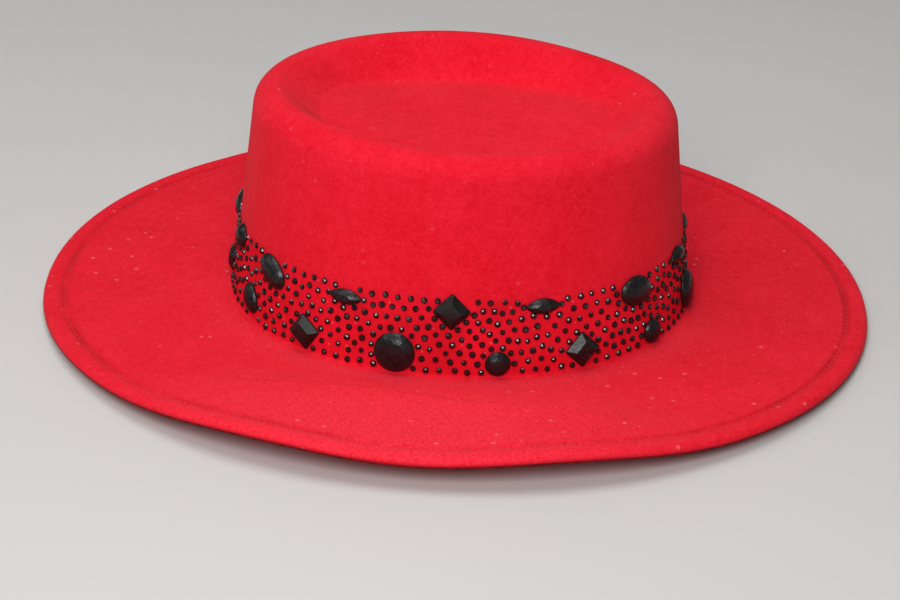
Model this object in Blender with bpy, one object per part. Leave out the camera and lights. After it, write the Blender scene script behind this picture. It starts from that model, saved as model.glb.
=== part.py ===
"""A wide-brimmed red felt hat with a flat oval telescope crown and a jewelled band.

Units are metres and +Z is up. The front of the hat faces -Y and the wearer's left side
faces +X. The origin lies under the middle of the hat, on the plane that the brim rests on.

Every ring-like piece is drawn from one section line. A point of the section is (out, up,
scale): out is measured square to the head oval, up from the top of the brim beside the
crown, and scale shrinks the oval towards the middle of the crown's tip.
"""
import math

import bmesh
import bpy
from mathutils import Matrix, Vector

# The head oval, which is the outside of the crown where it meets the brim.
HEAD_HALF_WIDTH = 0.0895
HEAD_HALF_LENGTH = 0.1045
OVAL_POWER = 2.06
SEGMENTS = 48

# The felt body: crown.
FELT = 0.0022
CROWN_MIDDLE_HEIGHT = 0.0968
CROWN_FRONT_RISE = 0.0027
WALL_LEAN = 0.1085
BREAK_RADIUS = 0.0020
RIM_OUTER_RADIUS = 0.0107
RIM_INNER_RADIUS = 0.0060
RIM_ROLL_ANGLE = math.radians(58)
TIP_DEPTH = 0.0180
TIP_CREASE_HEIGHT = 0.0024
TIP_CREASE_RUN = 0.0030
TIP_DOME = 0.0014

# The felt body: brim, with its edge turned under and stitched down.
BRIM_WIDTH = 0.0850
BRIM_LIFT = 0.0018
BRIM_SIDE_LIFT = 0.0039
BRIM_LEFT_LIFT = 0.0036
BRIM_TWIST = 0.0012
BRIM_FRONT_DROP = 0.0020
BRIM_FULLNESS = 0.30
LEFT_SAG = 0.0019
LEFT_SAG_AT = math.radians(-6)
LEFT_SAG_WAVES = 6.2
LEFT_SAG_REACH = 1.05
CROWN_SET_BACK = 0.0018
BRIM_CURVE_START = 0.0040
WELT_WIDTH = 0.0130
STITCH_INSET = 0.0095
GROOVE_DEPTH = 0.0005
GROOVE_HALF_WIDTH = 0.0006
WELT_SWELL = 0.0008
NOSE_RADIUS = 0.0026
TURN_UNDER = 0.0115
UNDER_LAYER = 0.0020
GAP = 0.0003
WIRE_RADIUS = 0.00045
WIRE_INSET = 0.0032
TUNNEL_RADIUS = 0.0008
THREAD_RADIUS = 0.0002
BOBBIN_GROOVE_DEPTH = 0.0009

# The band of studs and stones, and the sweatband inside.
BAND_THICKNESS = 0.0006
BAND_BOTTOM = 0.0022
BAND_TOP = 0.0364
SWEATBAND_THICKNESS = 0.0010
SWEATBAND_BOTTOM = 0.0014
SWEATBAND_TOP = 0.0320
SWEATBAND_PLAY = 0.0004
SWEATBAND_TUCK = 0.0004
REED_RADIUS = 0.0010
REED_HEIGHT = -0.0007
REED_DEPTH = 0.0046
BOW_HALF_WIDTH = 0.0095
BOW_HALF_HEIGHT = 0.0034
BOW_KNOT_HALF_WIDTH = 0.0019
BOW_KNOT_HALF_HEIGHT = 0.0021
BOW_THICKNESS = 0.0014
BOW_HEIGHT = 0.0085
BOW_CLEARANCE = 0.0012

# Stones as (place, height, turn, kind). A place is the distance round the head oval from
# the wearer's left side towards the back, and negative towards the front. A height is that
# of the stone's centre, and a turn is in degrees, to the left as the stone faces. The side
# left bare gets an even row of stones at one height.
TOP_ROW = 0.0308
BOTTOM_ROW = 0.0098
TOP_STONES = [
    (-0.1288, 0.0318, 0, "small_round"),
    (-0.0943, 0.0291, 56, "tall_oval"),
    (-0.0520, 0.0305, 0, "marquise"),
    (-0.0035, 0.0302, 0, "square"),
    (0.0370, 0.0322, 0, "marquise"),
    (0.0860, 0.0296, -9, "wide_oval"),
    (0.1230, 0.0335, 0, "marquise"),
    (0.1681, 0.0294, 0, "small_round"),
]
BOTTOM_STONES = [
    (-0.1570, 0.0085, 0, "small_oval"),
    (-0.1100, 0.0103, 36, "small_oval"),
    (-0.0721, 0.0090, 12, "square"),
    (-0.0280, 0.0096, 0, "large_round"),
    (0.0171, 0.0066, 0, "small_round"),
    (0.0559, 0.0092, 0, "square"),
    (0.0963, 0.0066, 0, "small_round"),
    (0.1358, 0.0108, 0, "large_round"),
]
RIGHT_TOP_KINDS = ["square", "marquise", "tall_oval", "marquise", "square", "marquise", "wide_oval"]
RIGHT_BOTTOM_KINDS = [
    "square", "small_round", "small_oval", "square", "large_round", "small_round", "square",
]
# Width along the band, height up the band, and how far the stone stands out.
STONE_SIZES = {
    "large_round": (0.0184, 0.0184, 0.0044),
    "small_round": (0.0113, 0.0113, 0.0036),
    "tall_oval": (0.0122, 0.0184, 0.0042),
    "wide_oval": (0.0188, 0.0140, 0.0042),
    "small_oval": (0.0100, 0.0145, 0.0036),
    "marquise": (0.0152, 0.0072, 0.0032),
    "square": (0.0121, 0.0121, 0.0040),
}
STONE_GIRDLE = 0.0008

# The edge of the brim at the front and back, turned under, sets the resting plane.
WELT_THICKNESS = FELT + GAP + UNDER_LAYER
BREAK_LEVEL = WELT_THICKNESS + BRIM_FRONT_DROP


def clear_scene():
    for old in list(bpy.data.objects):
        bpy.data.objects.remove(old, do_unlink=True)


def make_material(name, color, roughness, metallic=0.0):
    material = bpy.data.materials.new(name)
    material.use_nodes = True
    shader = material.node_tree.nodes["Principled BSDF"]
    shader.inputs["Base Color"].default_value = (*color, 1.0)
    shader.inputs["Roughness"].default_value = roughness
    shader.inputs["Metallic"].default_value = metallic
    material.diffuse_color = (*color, 1.0)
    return material


def add_object(name, bm, material, smooth=True):
    bmesh.ops.recalc_face_normals(bm, faces=bm.faces)
    mesh = bpy.data.meshes.new(name)
    bm.to_mesh(mesh)
    bm.free()
    mesh.materials.append(material)
    if smooth:
        mesh.shade_smooth()
        mesh.set_sharp_from_angle(angle=math.radians(40))
    piece = bpy.data.objects.new(name, mesh)
    bpy.context.scene.collection.objects.link(piece)
    return piece


# The head oval -------------------------------------------------------------------------

def oval_point(angle):
    across = abs(math.cos(angle) / HEAD_HALF_WIDTH) ** OVAL_POWER
    along = abs(math.sin(angle) / HEAD_HALF_LENGTH) ** OVAL_POWER
    radius = (across + along) ** (-1.0 / OVAL_POWER)
    return Vector((radius * math.cos(angle), radius * math.sin(angle), 0.0))


def oval_normal(angle):
    step = 0.001
    tangent = oval_point(angle + step) - oval_point(angle - step)
    return Vector((tangent.y, -tangent.x, 0.0)).normalized()


def angle_at_distance(distance, steps=2000):
    """The oval's angle at a distance round it from +X, found by walking the oval."""
    step = math.copysign(2 * math.pi / steps, distance)
    angle = 0.0
    walked = 0.0
    while walked < abs(distance):
        walked += (oval_point(angle + step) - oval_point(angle)).length
        angle += step
    return angle


def oval_length(steps=2000):
    step = 2 * math.pi / steps
    return sum((oval_point((i + 1) * step) - oval_point(i * step)).length for i in range(steps))


# The hat's overall form ----------------------------------------------------------------

def left_sag(angle):
    """The soft sag in the middle of the left edge, with a rise on each side of it."""
    away = math.remainder(angle - LEFT_SAG_AT, math.tau)
    if abs(away) > LEFT_SAG_REACH:
        return 0.0
    return LEFT_SAG * math.cos(LEFT_SAG_WAVES * away) * (1 - (away / LEFT_SAG_REACH) ** 4) ** 2


def brim_lift(angle):
    """How far the brim's edge stands above the brim beside the crown, round the hat."""
    rolled = BRIM_LIFT + BRIM_SIDE_LIFT * math.cos(2 * angle) + BRIM_LEFT_LIFT * math.cos(angle)
    twisted = rolled - BRIM_TWIST * math.sin(2 * angle)
    return max(twisted, -BRIM_FRONT_DROP) - left_sag(angle)


def place(out, up, angle, scale=1.0):
    """A section point at one angle round the hat, in the hat's own frame."""
    spot = (oval_point(angle) + oval_normal(angle) * out) * scale
    reach = (out - BRIM_CURVE_START) / (BRIM_WIDTH - WELT_WIDTH - BRIM_CURVE_START)
    reach = min(max(reach, 0.0), 1.0)
    height = up + brim_lift(angle) * reach * (1 + BRIM_FULLNESS * (1 - reach))
    if up > 0:
        height -= up * CROWN_FRONT_RISE / CROWN_MIDDLE_HEIGHT * spot.y / HEAD_HALF_LENGTH
    spot.y += CROWN_SET_BACK * (1 - reach)
    spot.z = height + BREAK_LEVEL
    return spot


def arc(center, radii, start, end, steps):
    """Points on an arc from start to end, in degrees, both ends included."""
    points = []
    for i in range(steps + 1):
        turn = math.radians(start + (end - start) * i / steps)
        points.append((center[0] + radii[0] * math.cos(turn), center[1] + radii[1] * math.sin(turn)))
    return points


def offset_line(points, distance):
    """The line a distance to the right of a section line, mitred at its corners."""
    shifted = []
    for i, (x, y) in enumerate(points):
        before = Vector(points[max(i - 1, 0)])
        here = Vector((x, y))
        after = Vector(points[min(i + 1, len(points) - 1)])
        first = (here - before) if i > 0 else (after - here)
        second = (after - here) if i < len(points) - 1 else (here - before)
        side_a = Vector((first.y, -first.x)).normalized()
        side_b = Vector((second.y, -second.x)).normalized()
        middle = (side_a + side_b).normalized()
        shifted.append(tuple(here + middle * distance / middle.dot(side_a)))
    return shifted


def sweep_section(name, rows, material, closed=True):
    """Sweep section rows round the hat. An open line is closed at its first and last rows."""
    bm = bmesh.new()
    rings = []
    for row in rows:
        scale = row[2] if len(row) > 2 else 1.0
        ring = []
        for i in range(SEGMENTS):
            ring.append(bm.verts.new(place(row[0], row[1], 2 * math.pi * i / SEGMENTS, scale)))
        rings.append(ring)
    pairs = list(zip(rings, rings[1:]))
    if closed:
        pairs.append((rings[-1], rings[0]))
    for one, two in pairs:
        for i in range(SEGMENTS):
            j = (i + 1) % SEGMENTS
            bm.faces.new((one[i], one[j], two[j], two[i]))
    if not closed:
        for ring in (rings[0], rings[-1]):
            middle = sum((vert.co for vert in ring), Vector()) / SEGMENTS
            pole = bm.verts.new(middle)
            for i in range(SEGMENTS):
                bm.faces.new((ring[i], ring[(i + 1) % SEGMENTS], pole))
    return add_object(name, bm, material)


# The felt body -------------------------------------------------------------------------

def wall_out(up):
    return -WALL_LEAN * up


def crown_section():
    """The crown's outside, from the crease round the tip, over the rim and down to the brim."""
    top = CROWN_MIDDLE_HEIGHT
    shoulder = top - RIM_OUTER_RADIUS
    crest = wall_out(shoulder) - RIM_OUTER_RADIUS
    roll = math.degrees(RIM_ROLL_ANGLE)
    inner_arc = arc((crest, top - RIM_INNER_RADIUS), (RIM_INNER_RADIUS,) * 2, 90 + roll, 90, 3)
    outer_arc = arc((crest, shoulder), (RIM_OUTER_RADIUS,) * 2, 90, 0, 5)
    slope_top_out, slope_top_up = inner_arc[0]
    crease_up = top - TIP_DEPTH
    slope_foot_up = crease_up + TIP_CREASE_HEIGHT
    slope_foot_out = slope_top_out - (slope_top_up - slope_foot_up) / math.tan(RIM_ROLL_ANGLE)
    crease = [
        (slope_foot_out - TIP_CREASE_RUN, crease_up),
        (slope_foot_out - TIP_CREASE_RUN * 0.37, crease_up + TIP_CREASE_HEIGHT * 0.29),
    ]
    slope = [(slope_foot_out, slope_foot_up)]
    break_arc = arc((BREAK_RADIUS, BREAK_RADIUS), (BREAK_RADIUS,) * 2, 180, 270, 3)
    wall = [(wall_out(up), up) for up in (shoulder * 0.66, shoulder * 0.33)]
    return crease + slope + inner_arc + outer_arc[1:] + wall + break_arc


def felt_outside():
    start = BRIM_WIDTH - WELT_WIDTH
    brim = [(BRIM_WIDTH * part, 0.0) for part in (0.15, 0.35, 0.6)]
    return crown_section() + brim + [(start, 0.0)]


def turned_edge():
    """From the stitch groove on top, round the edge, and back along the turned-under layer."""
    stitch = BRIM_WIDTH - STITCH_INSET
    groove = [
        (stitch - GROOVE_HALF_WIDTH, 0.0), (stitch, -GROOVE_DEPTH), (stitch + GROOVE_HALF_WIDTH, 0.0),
    ]
    swell = [(BRIM_WIDTH - 0.0060, WELT_SWELL * 0.8)]
    nose_middle = (WELT_SWELL - WELT_THICKNESS) / 2
    nose_height = (WELT_SWELL + WELT_THICKNESS) / 2
    nose = arc((BRIM_WIDTH - NOSE_RADIUS, nose_middle), (NOSE_RADIUS, nose_height), 90, -90, 6)
    bobbin = [
        (stitch + GROOVE_HALF_WIDTH, -WELT_THICKNESS),
        (stitch, -WELT_THICKNESS + BOBBIN_GROOVE_DEPTH),
        (stitch - GROOVE_HALF_WIDTH, -WELT_THICKNESS),
    ]
    end = BRIM_WIDTH - TURN_UNDER
    cut_edge = [(end, -WELT_THICKNESS), (end, -FELT - GAP)]
    slot_middle = -FELT - GAP / 2
    mouth = math.degrees(math.asin(GAP / 2 / TUNNEL_RADIUS))
    tunnel_center = (BRIM_WIDTH - WIRE_INSET, slot_middle)
    tunnel = arc(tunnel_center, (TUNNEL_RADIUS,) * 2, 180 + mouth, 540 - mouth, 6)
    return groove + swell + nose + bobbin + cut_edge + tunnel


def make_felt_body(material):
    outside = felt_outside()
    inside = offset_line(outside, FELT)
    tip_out, tip_up = outside[0]
    inner_out, inner_up = inside[0]
    tip_scales = ((0.30, TIP_DOME), (0.66, TIP_DOME * 0.8), (0.88, TIP_DOME * 0.25))
    outer_tip = [(tip_out, tip_up + rise, scale) for scale, rise in tip_scales]
    inner_tip = [(inner_out, inner_up + rise, scale) for scale, rise in reversed(tip_scales)]
    rows = outer_tip + outside + turned_edge() + list(reversed(inside)) + inner_tip
    return sweep_section("felt_body", rows, material, closed=False)


# Ring-shaped pieces --------------------------------------------------------------------

def ring_of_wire(name, center, radius, sides, material):
    rows = arc(center, (radius, radius), 0, 360 - 360 / sides, sides - 1)
    return sweep_section(name, rows, material)


def make_brim_wire(material):
    center = (BRIM_WIDTH - WIRE_INSET, -FELT - GAP / 2)
    return ring_of_wire("brim_wire", center, WIRE_RADIUS, 5, material)


def make_stitching(material):
    stitch = BRIM_WIDTH - STITCH_INSET
    needle_up = -GROOVE_DEPTH + GAP + THREAD_RADIUS
    bobbin_up = -WELT_THICKNESS + BOBBIN_GROOVE_DEPTH - GAP - THREAD_RADIUS
    ring_of_wire("edge_needle_thread", (stitch, needle_up), THREAD_RADIUS, 4, material)
    ring_of_wire("edge_bobbin_thread", (stitch, bobbin_up), THREAD_RADIUS, 4, material)


def make_stud_band(material):
    inner = [(wall_out(up) + GAP, up) for up in (BAND_BOTTOM, BAND_TOP)]
    outer = [(out + BAND_THICKNESS, up) for out, up in reversed(inner)]
    return sweep_section("stud_band", inner + outer, material)


def sweatband_out(up):
    """The face of the sweatband that lies against the felt."""
    return wall_out(up) - FELT - SWEATBAND_PLAY


def make_sweatband(material):
    levels = (SWEATBAND_BOTTOM + 0.0030, SWEATBAND_TOP)
    foot = (sweatband_out(SWEATBAND_BOTTOM) - SWEATBAND_TUCK, SWEATBAND_BOTTOM)
    outer = [foot] + [(sweatband_out(up), up) for up in levels]
    inner = [(out - SWEATBAND_THICKNESS, up) for out, up in reversed(outer)]
    return sweep_section("sweatband", outer + inner, material)


def make_sweatband_reed(material):
    return ring_of_wire("sweatband_reed", (-REED_DEPTH, REED_HEIGHT), REED_RADIUS, 6, material)


def make_sweatband_bow(material):
    """A small flat ribbon bow, sewn inside the sweatband over its seam at the back."""
    waist = BOW_KNOT_HALF_WIDTH
    wing, knot = BOW_HALF_HEIGHT, BOW_KNOT_HALF_HEIGHT
    right = [
        (waist, -knot), (waist + 0.0006, -knot * 0.5), (BOW_HALF_WIDTH * 0.85, -wing),
        (BOW_HALF_WIDTH, -wing * 0.8), (BOW_HALF_WIDTH, wing * 0.8), (BOW_HALF_WIDTH * 0.85, wing),
        (waist + 0.0006, knot * 0.5), (waist, knot),
    ]
    outline = right + [(-x, z) for x, z in reversed(right)]
    inside = sweatband_out(BOW_HEIGHT) - SWEATBAND_THICKNESS - BOW_CLEARANCE
    back = CROWN_SET_BACK + HEAD_HALF_LENGTH + inside
    bm = bmesh.new()
    level = BREAK_LEVEL + BOW_HEIGHT
    face = bm.faces.new([bm.verts.new((x, back, level + z)) for x, z in outline])
    pushed = bmesh.ops.extrude_face_region(bm, geom=[face])["geom"]
    verts = [item for item in pushed if isinstance(item, bmesh.types.BMVert)]
    bmesh.ops.translate(bm, verts=verts, vec=(0, -BOW_THICKNESS, 0))
    return add_object("sweatband_bow", bm, material, smooth=False)


# Stones --------------------------------------------------------------------------------

def round_outline(sides, turn=0.0):
    return [(math.cos(2 * math.pi * (i + turn) / sides), math.sin(2 * math.pi * (i + turn) / sides))
            for i in range(sides)]


def marquise_outline(sides=10):
    """A pointed oval: the width falls off faster than on an ellipse towards both tips."""
    points = []
    for x, y in round_outline(sides):
        points.append((x, math.copysign(abs(y) ** 1.35, y)))
    return points


def stone_tiers(kind):
    """Rings of a cut stone as (outline, size, height), with height from 0 to 1."""
    if kind == "square":
        corners = round_outline(4)
        return [(corners, 1.0, 0.0), (corners, 1.0, None), (corners, 0.42, 1.0)]
    if kind == "marquise":
        return [
            (marquise_outline(), 1.0, 0.0), (marquise_outline(), 1.0, None),
            (marquise_outline(6), 0.55, 1.0),
        ]
    sides = 8 if kind == "large_round" else 6
    return [
        (round_outline(sides * 2), 1.0, 0.0), (round_outline(sides * 2), 1.0, None),
        (round_outline(sides, 0.5), 0.80, 0.72), (round_outline(sides), 0.50, 1.0),
    ]


def stone_mesh(kind):
    """A flat-backed faceted stone whose back lies on the XY plane and whose table faces +Z."""
    width, height, depth = STONE_SIZES[kind]
    turn = math.sqrt(2) if kind == "square" else 1.0
    bm = bmesh.new()
    for outline, size, level in stone_tiers(kind):
        up = STONE_GIRDLE if level is None else depth * level
        for x, y in outline:
            bm.verts.new((x * size * width / 2 * turn, y * size * height / 2 * turn, up))
    bmesh.ops.convex_hull(bm, input=bm.verts)
    return bm


def stone_frame(distance, up):
    """Where a stone sits: its X runs along the band, its Y up the wall and its Z outwards."""
    angle = angle_at_distance(distance)
    spot = place(wall_out(up) + 2 * GAP + BAND_THICKNESS, up, angle)
    above = place(wall_out(up + 0.01) + 2 * GAP + BAND_THICKNESS, up + 0.01, angle)
    uphill = (above - spot).normalized()
    outward = oval_normal(angle)
    outward = (outward - uphill * outward.dot(uphill)).normalized()
    along = uphill.cross(outward).normalized()
    turn = Matrix((along, uphill, outward)).transposed()
    return Matrix.Translation(spot) @ turn.to_4x4()


def right_side_stones(left_side, row, kinds):
    """Fill the side that the left side list leaves bare with an even row of stones."""
    start = left_side[-1][0]
    room = oval_length() - (start - left_side[0][0])
    step = room / (len(kinds) + 1)
    return [(start + step * (i + 1), row, 0, kind) for i, kind in enumerate(kinds)]


def make_stones(material):
    rows = (
        ("top", TOP_STONES + right_side_stones(TOP_STONES, TOP_ROW, RIGHT_TOP_KINDS)),
        ("bottom", BOTTOM_STONES + right_side_stones(BOTTOM_STONES, BOTTOM_ROW, RIGHT_BOTTOM_KINDS)),
    )
    for row_name, stones in rows:
        for number, (distance, up, turn, kind) in enumerate(stones, start=1):
            name = f"stone_{row_name}_{number:02d}_{kind}"
            piece = add_object(name, stone_mesh(kind), material, smooth=False)
            piece.matrix_world = stone_frame(distance, up) @ Matrix.Rotation(math.radians(turn), 4, "Z")


def main():
    clear_scene()
    felt = make_material("red_felt", (0.78, 0.012, 0.022), 0.95)
    band = make_material("red_band", (0.85, 0.004, 0.012), 0.8)
    thread = make_material("red_thread", (0.60, 0.010, 0.018), 0.7)
    steel = make_material("spring_steel", (0.45, 0.45, 0.47), 0.35, 1.0)
    leather = make_material("black_leather", (0.018, 0.016, 0.015), 0.5)
    reed = make_material("reed_plastic", (0.03, 0.03, 0.03), 0.45)
    ribbon = make_material("black_ribbon", (0.012, 0.012, 0.013), 0.6)
    jet = make_material("jet_stone", (0.008, 0.008, 0.009), 0.15)
    make_felt_body(felt)
    make_brim_wire(steel)
    make_stitching(thread)
    make_stud_band(band)
    make_sweatband(leather)
    make_sweatband_reed(reed)
    make_sweatband_bow(ribbon)
    make_stones(jet)


main()
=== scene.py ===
"""The looks of a wide-brimmed red felt hat with a jewelled band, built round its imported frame.

Metres, +Z up, the hat's front faces -Y and its wearer's left side faces +X. Section points
are (out, up): out is square to the head oval and up is above the brim beside the crown.
"""
import bisect
import math
import random

import bmesh
import bpy
from mathutils import Matrix, Vector, noise


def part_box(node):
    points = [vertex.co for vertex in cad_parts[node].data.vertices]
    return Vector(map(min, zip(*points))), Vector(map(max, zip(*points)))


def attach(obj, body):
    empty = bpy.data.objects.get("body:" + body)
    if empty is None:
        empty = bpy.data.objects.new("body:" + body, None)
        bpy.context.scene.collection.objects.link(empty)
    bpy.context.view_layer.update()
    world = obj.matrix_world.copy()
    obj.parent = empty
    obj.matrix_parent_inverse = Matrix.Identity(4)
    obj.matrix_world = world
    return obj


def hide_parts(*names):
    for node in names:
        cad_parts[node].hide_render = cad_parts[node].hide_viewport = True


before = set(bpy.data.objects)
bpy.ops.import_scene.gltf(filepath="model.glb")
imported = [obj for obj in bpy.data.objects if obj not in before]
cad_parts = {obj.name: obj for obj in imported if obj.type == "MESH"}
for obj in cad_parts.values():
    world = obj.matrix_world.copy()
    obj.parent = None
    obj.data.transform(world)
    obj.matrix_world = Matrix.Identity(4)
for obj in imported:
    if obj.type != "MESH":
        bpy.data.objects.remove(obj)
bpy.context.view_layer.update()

# The same driving dimensions as the CAD.
HEAD_HALF_WIDTH = 0.0895
HEAD_HALF_LENGTH = 0.1045
OVAL_POWER = 2.06
FELT = 0.0022
CROWN_MIDDLE_HEIGHT = 0.0968
CROWN_FRONT_RISE = 0.0027
WALL_LEAN = 0.1085
BREAK_RADIUS = 0.0020
RIM_OUTER_RADIUS = 0.0107
RIM_INNER_RADIUS = 0.0060
RIM_ROLL_ANGLE = math.radians(58)
TIP_DEPTH = 0.0180
TIP_CREASE_HEIGHT = 0.0024
TIP_CREASE_RUN = 0.0030
TIP_DOME = 0.0014
BRIM_WIDTH = 0.0850
BRIM_LIFT = 0.0018
BRIM_SIDE_LIFT = 0.0039
BRIM_LEFT_LIFT = 0.0036
BRIM_TWIST = 0.0012
BRIM_FRONT_DROP = 0.0020
BRIM_FULLNESS = 0.30
LEFT_SAG = 0.0019
LEFT_SAG_AT = math.radians(-6)
LEFT_SAG_WAVES = 6.2
LEFT_SAG_REACH = 1.05
CROWN_SET_BACK = 0.0018
BRIM_CURVE_START = 0.0040
WELT_WIDTH = 0.0130
STITCH_INSET = 0.0095
WELT_SWELL = 0.0008
NOSE_RADIUS = 0.0026
TURN_UNDER = 0.0115
UNDER_LAYER = 0.0020
GAP = 0.0003
WIRE_INSET = 0.0032
WIRE_RADIUS = 0.00045
TUNNEL_RADIUS = 0.0008
BOBBIN_GROOVE_DEPTH = 0.0009
BAND_TOP = 0.0364
SWEATBAND_THICKNESS = 0.0010
SWEATBAND_BOTTOM = 0.0014
SWEATBAND_TOP = 0.0320
REED_RADIUS = 0.0010
REED_HEIGHT = -0.0007
REED_DEPTH = 0.0046

# Stones as (place, height, turn, kind). A place is the distance round the head oval from +X,
# a height is that of the stone's centre, and a turn is in degrees, to the left as the stone
# faces. The right side gets an even row at one height.
TOP_ROW = 0.0308
BOTTOM_ROW = 0.0098
TOP_STONES = [
    (-0.1288, 0.0318, 0, "small_round"),
    (-0.0943, 0.0291, 56, "tall_oval"),
    (-0.0520, 0.0305, 0, "marquise"),
    (-0.0035, 0.0302, 0, "square"),
    (0.0370, 0.0322, 0, "marquise"),
    (0.0860, 0.0296, -9, "wide_oval"),
    (0.1230, 0.0335, 0, "marquise"),
    (0.1681, 0.0294, 0, "small_round"),
]
BOTTOM_STONES = [
    (-0.1570, 0.0085, 0, "small_oval"),
    (-0.1100, 0.0103, 36, "small_oval"),
    (-0.0721, 0.0090, 12, "square"),
    (-0.0280, 0.0096, 0, "large_round"),
    (0.0171, 0.0066, 0, "small_round"),
    (0.0559, 0.0092, 0, "square"),
    (0.0963, 0.0066, 0, "small_round"),
    (0.1358, 0.0108, 0, "large_round"),
]
RIGHT_TOP_KINDS = ["square", "marquise", "tall_oval", "marquise", "square", "marquise", "wide_oval"]
RIGHT_BOTTOM_KINDS = [
    "square", "small_round", "small_oval", "square", "large_round", "small_round", "square",
]
# Width along the band, height up the band, and how far the stone stands out.
STONE_SIZES = {
    "large_round": (0.0184, 0.0184, 0.0044),
    "small_round": (0.0113, 0.0113, 0.0036),
    "tall_oval": (0.0122, 0.0184, 0.0042),
    "wide_oval": (0.0188, 0.0140, 0.0042),
    "small_oval": (0.0100, 0.0145, 0.0036),
    "marquise": (0.0152, 0.0072, 0.0032),
    "square": (0.0121, 0.0121, 0.0040),
}
STONE_GIRDLE = 0.0008

# Sizes and places that follow from these.
WELT_THICKNESS = FELT + GAP + UNDER_LAYER
BREAK_LEVEL = WELT_THICKNESS + BRIM_FRONT_DROP
WELT_START = BRIM_WIDTH - WELT_WIDTH - 0.0025
SEAM_AT = BRIM_WIDTH - STITCH_INSET
LAYER_END = BRIM_WIDTH - TURN_UNDER
WIRE_CENTER = (BRIM_WIDTH - WIRE_INSET, -FELT - GAP / 2)

# How finely the visual pieces are drawn.
AROUND = 360
FELT_AROUND = 540
STITCH_PITCH = 0.0032
STITCH_LENGTH = 0.0026
STITCH_RADIUS = 0.00022
STITCH_OVERLAP = 1.12
STITCH_SINK = 0.0004
SWEATBAND_STITCH_PITCH = 0.0036
SWEATBAND_STITCH_RADIUS = 0.00019
TIP_SCALES = (0.06, 0.14, 0.22, 0.30, 0.38, 0.46, 0.54, 0.62, 0.70, 0.78, 0.84, 0.90, 0.95)

# Small studs on the band. Nearer than STUD_REACH they push each other apart.
STUD_RADIUS = 0.00150
STUD_REACH = 0.0062
STUD_COUNT = 520
STUD_EDGE_PITCH = 0.0059
STUD_TOP_ROW = 0.0345
STUD_BOTTOM_ROW = 0.0027
STUD_FIELD_INSET = 0.0036
STUD_LEAN = 0.16
STUD_SIDES = 8
STUD_RINGS = ((0.98, -0.10), (1.0, 0.20), (0.80, 0.56), (0.46, 0.80))
SETTLING_ROUNDS = 60

# Hand-worked unevenness that the CAD leaves out.
BROAD_WANDER = 0.00055
SMALL_WANDER = 0.00012
WELT_DROOP = 0.0010
DROOP_WIDTH = 0.0180
FOLD_AT = 0.1165
FOLD_SLANT = 0.25
FOLD_RISE = 0.0015
FOLD_REACH = 0.0140
FOLD_ROUNDING = 0.003
FOLD_LINE_DEPTH = 0.00025
FOLD_LINE_WIDTH = 0.0013
RIM_PINCH = 0.0022

# The hollow's softer front and back. Places are parts of its crease's own half width and length.
CREASE_HALF_WIDTH = 0.0545
CREASE_HALF_LENGTH = 0.0695
HOLLOW_FILL = 0.0062
HOLLOW_CREST = 1.215
HOLLOW_SHORTENING = 0.0042
SHOULDER_DROP = 0.0013
SHOULDER_AT = 1.155
SHOULDER_REACH = 0.060
FOOT_FILLET = 0.0013
FOOT_AT = 1.01
FOOT_REACH = 0.12

# The seam along the edge, its shade, the painted shade under the lowest edge, and how far the
# turned layer shows through on top.
SEAM_DEPTH = 0.00070
SEAM_HALF_WIDTH = 0.0011
SEAM_SHADE_WIDTH = 0.0019
EDGE_SHADE_START = 0.0015
EDGE_SHADE_FULL = 0.0026
LAYER_STEP = 0.00018

# The band's foot, a little nearer the brim than the CAD's, its lap, and the bow's ribbon.
BAND_LOW = 0.0010
LAP_AT = -0.236
LAP_ANGLE = 0.085
LAP_THICKNESS = 0.00035
RIBBON_THICKNESS = 0.00022
KNOT_WIDTH = 0.0030
KNOT_THICKNESS = 0.00025

# Base colours, as linear red, green and blue.
FELT_DEEP = (0.69, 0.0012, 0.009)
FELT_BRIGHT = (0.93, 0.0215, 0.050)
FELT_WORN = (0.80, 0.016, 0.030)
# Dust and painted light: a paler, pinker felt for the near brim and the brim beside the band.
FELT_DUST_AND_LIGHT = (0.985, 0.0420, 0.072)
LINT_PINK = (0.98, 0.30, 0.32)
SEAM_DARK = (0.34, 0.0020, 0.007)
# Painted shade for the underside of the resting edge, standing in for its shadow on the floor.
EDGE_SHADE_DARK = (0.045, 0.0030, 0.004)
BAND_DEEP = (0.68, 0.0048, 0.0180)
BAND_BRIGHT = (0.86, 0.0085, 0.0280)
GLUE_PINK = (0.80, 0.28, 0.27)

# How much of the felt's own lint, seam shade and painted edge shade shows at different places.
BRIM_LINT = 1.0
CROWN_LINT = 0.32
RIM_LINT = 0.60
FOLD_LINT = 0.9
FOLD_SHADE = 0.42
# Share of the painted edge shade kept away from the wearer's left (+X) side, where it is strongest.
FAR_SIDE_EDGE_SHADE = 0.35

# Lights: name, place, width in metres and power in watts. All point at LIGHT_AIM.
LIGHTS = (
    ("key", (0.95, -0.10, 0.75), 0.6, 7.9),
    ("side", (0.10, -1.00, 1.10), 0.8, 3.0),
    ("top", (0.05, -0.10, 1.50), 1.0, 8.6),
)
LIGHT_AIM = Vector((0, 0, 0.05))

# The camera: where it looks, from how far, and how it is turned, in degrees.
CAMERA_AIM = Vector((0.0199, -0.0026, 0.0080))
CAMERA_DISTANCE = 1.186
CAMERA_AZIMUTH = 90.0
CAMERA_ELEVATION = 27.34
CAMERA_ROLL = 1.85
CAMERA_LENS = 104.0


# The head oval and the hat's form -----

def oval_point(angle):
    across = abs(math.cos(angle) / HEAD_HALF_WIDTH) ** OVAL_POWER
    along = abs(math.sin(angle) / HEAD_HALF_LENGTH) ** OVAL_POWER
    radius = (across + along) ** (-1.0 / OVAL_POWER)
    return Vector((radius * math.cos(angle), radius * math.sin(angle), 0.0))


def oval_normal(angle):
    step = 0.001
    tangent = oval_point(angle + step) - oval_point(angle - step)
    return Vector((tangent.y, -tangent.x, 0.0)).normalized()


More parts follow.
